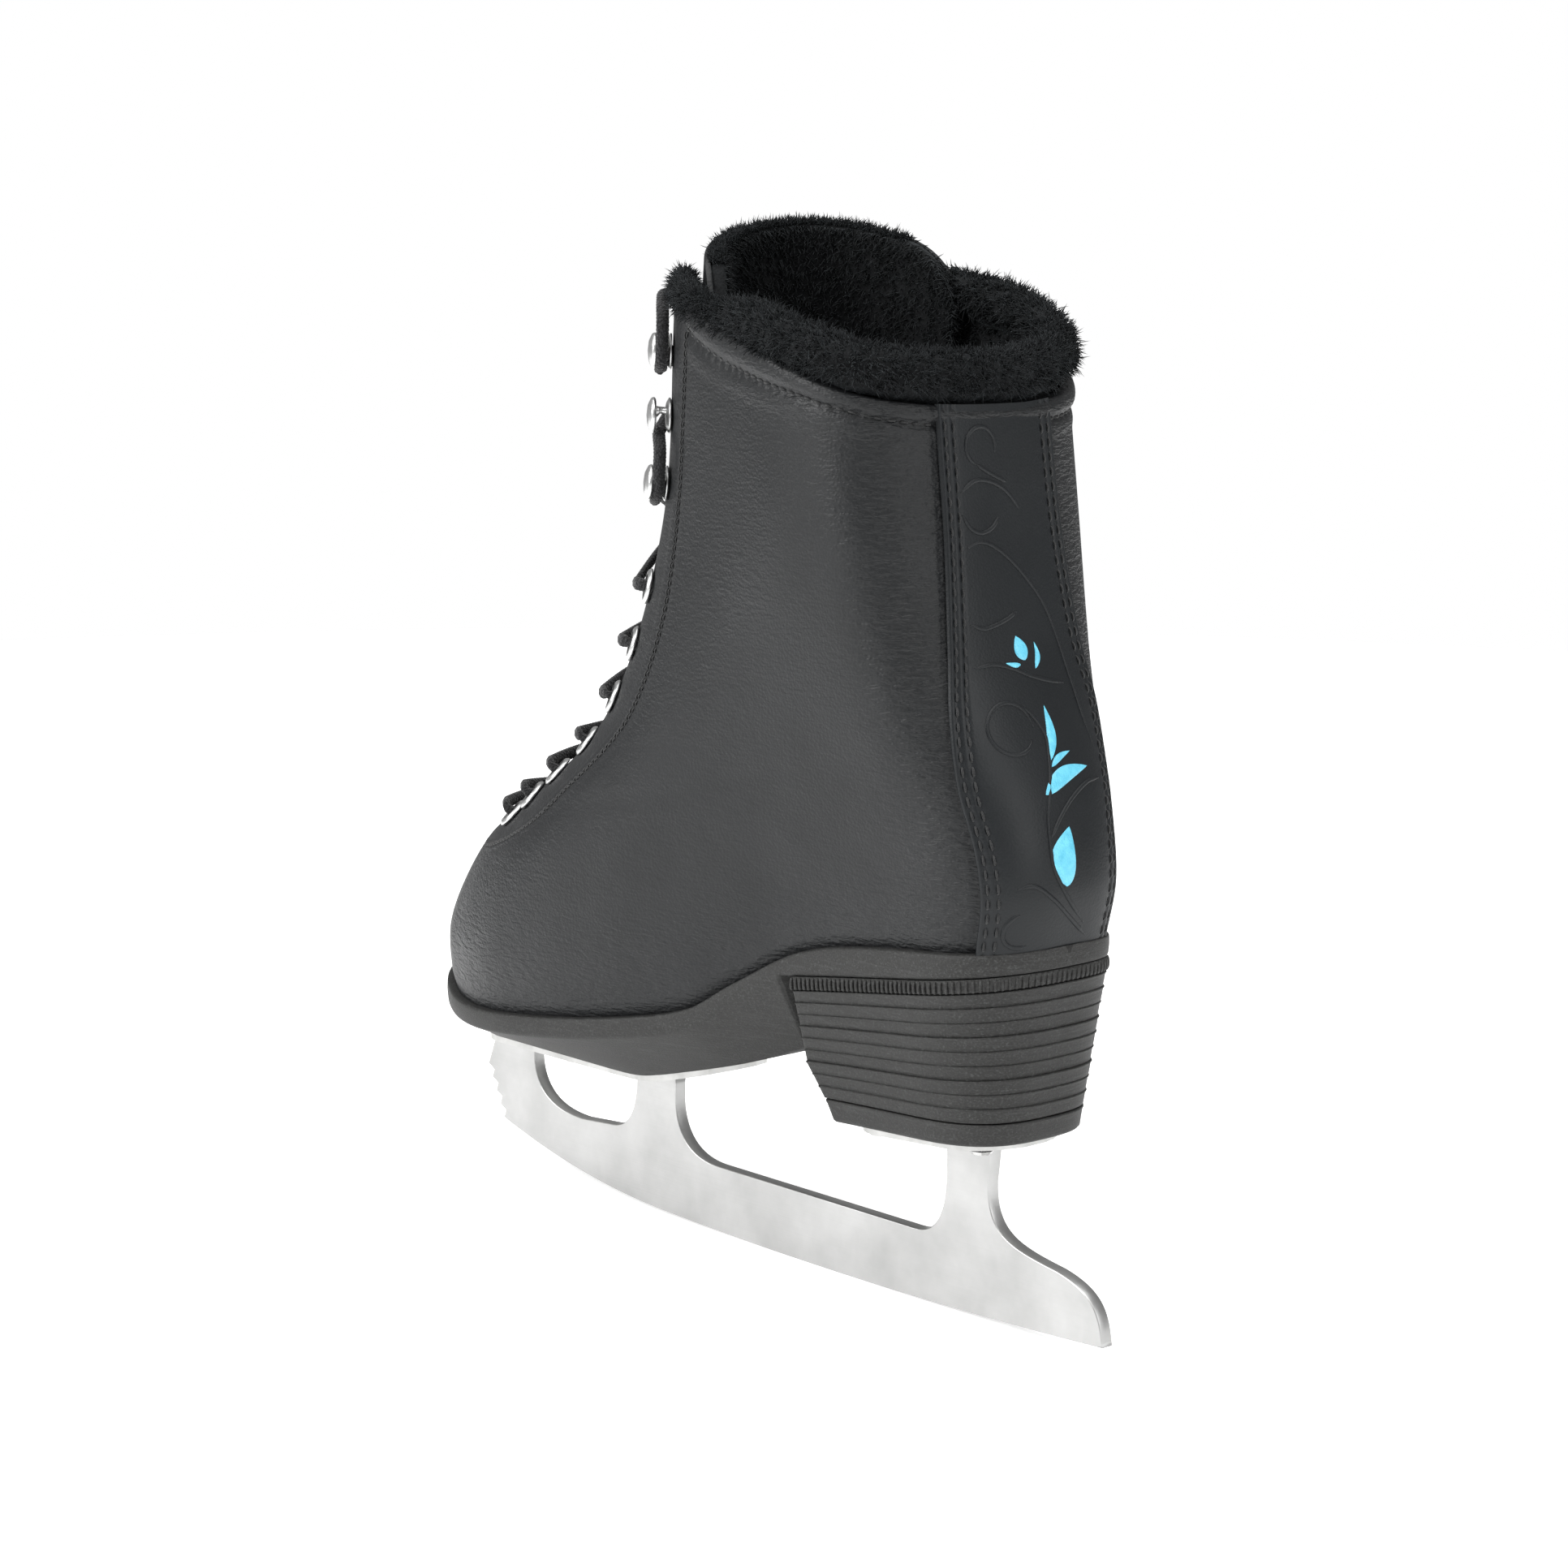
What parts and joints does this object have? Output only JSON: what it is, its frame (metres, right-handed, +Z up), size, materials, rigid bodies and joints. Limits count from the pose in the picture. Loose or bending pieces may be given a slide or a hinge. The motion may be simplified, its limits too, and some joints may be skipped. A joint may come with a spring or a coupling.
{
  "type": "figure skate",
  "caption": "Black leather figure skate: high laced boot with plush collar and tongue, stacked heel and a steel toe-pick blade.",
  "frame": {"origin": "centre of the skate's bounding box in plan, on the plane the blade stands on", "axes": "+Z up; the toe points along -Y; the wearer's left side is +X"},
  "size_m": [0.0896, 0.2611, 0.2868],
  "materials": {
    "blade_steel": "brushed stainless runner with a ground, brighter edge",
    "plate_steel": "satin plated sheet",
    "screw_steel": "bright pan-head screws",
    "sole_leather": "waxed, stacked dark leather, mottled grey-brown",
    "lift_rubber": "dense black top lift",
    "insole_board": "unfinished insole board",
    "footbed_fabric": "black knitted footbed cover",
    "boot_leather": "fine-grain black leather, semi-matt, with soft horizontal creases",
    "strip_leather": "smooth black leather, slightly bluish",
    "stiffener": "moulded stiffener board",
    "plush": "short black pile",
    "nickel": "polished nickel plate",
    "lace_braid": "black braided cotton",
    "aglet_plastic": "clear-coated black lace tip",
    "motif_print": "glossy turquoise leaf print on the back strip"
  },
  "bodies": {
    "boot": {"blade_runner": "blade_steel", "front_plate": "plate_steel", "heel_plate": "plate_steel", "front_screw_1": "screw_steel", "front_screw_2": "screw_steel", "front_screw_3": "screw_steel", "front_screw_4": "screw_steel", "front_screw_5": "screw_steel", "front_screw_6": "screw_steel", "heel_screw_1": "screw_steel", "heel_screw_2": "screw_steel", "heel_screw_3": "screw_steel", "heel_screw_4": "screw_steel", "outsole": "sole_leather", "heel_rand": "sole_leather", "heel_stack": "sole_leather", "heel_top_lift": "lift_rubber", "insole_board": "insole_board", "footbed": "footbed_fabric", "upper_shell": "boot_leather", "facing_left": "boot_leather", "facing_right": "boot_leather", "back_strip": "strip_leather", "heel_counter": "stiffener", "toe_puff": "stiffener", "lining": "plush", "collar_roll": "plush", "eyelet_left_1": "nickel", "eyelet_left_2": "nickel", "eyelet_left_3": "nickel", "eyelet_left_4": "nickel", "eyelet_left_5": "nickel", "eyelet_left_6": "nickel", "eyelet_left_7": "nickel", "eyelet_right_1": "nickel", "eyelet_right_2": "nickel", "eyelet_right_3": "nickel", "eyelet_right_4": "nickel", "eyelet_right_5": "nickel", "eyelet_right_6": "nickel", "eyelet_right_7": "nickel", "hook_left_1": "nickel", "hook_left_2": "nickel", "hook_left_3": "nickel", "hook_right_1": "nickel", "hook_right_2": "nickel", "hook_right_3": "nickel", "lace": "lace_braid", "aglet_left": "aglet_plastic", "aglet_right": "aglet_plastic"},
    "tongue": {"tongue_leather": "boot_leather", "tongue_padding": "plush"}
  },
  "joints": [
    {"name": "tongue_hinge", "type": "hinge", "parent": "boot", "child": "tongue", "pos_m": [0, -0.102, 0.102], "axis": [-1, 0, 0], "range_deg": [0, 9]}
  ]
}
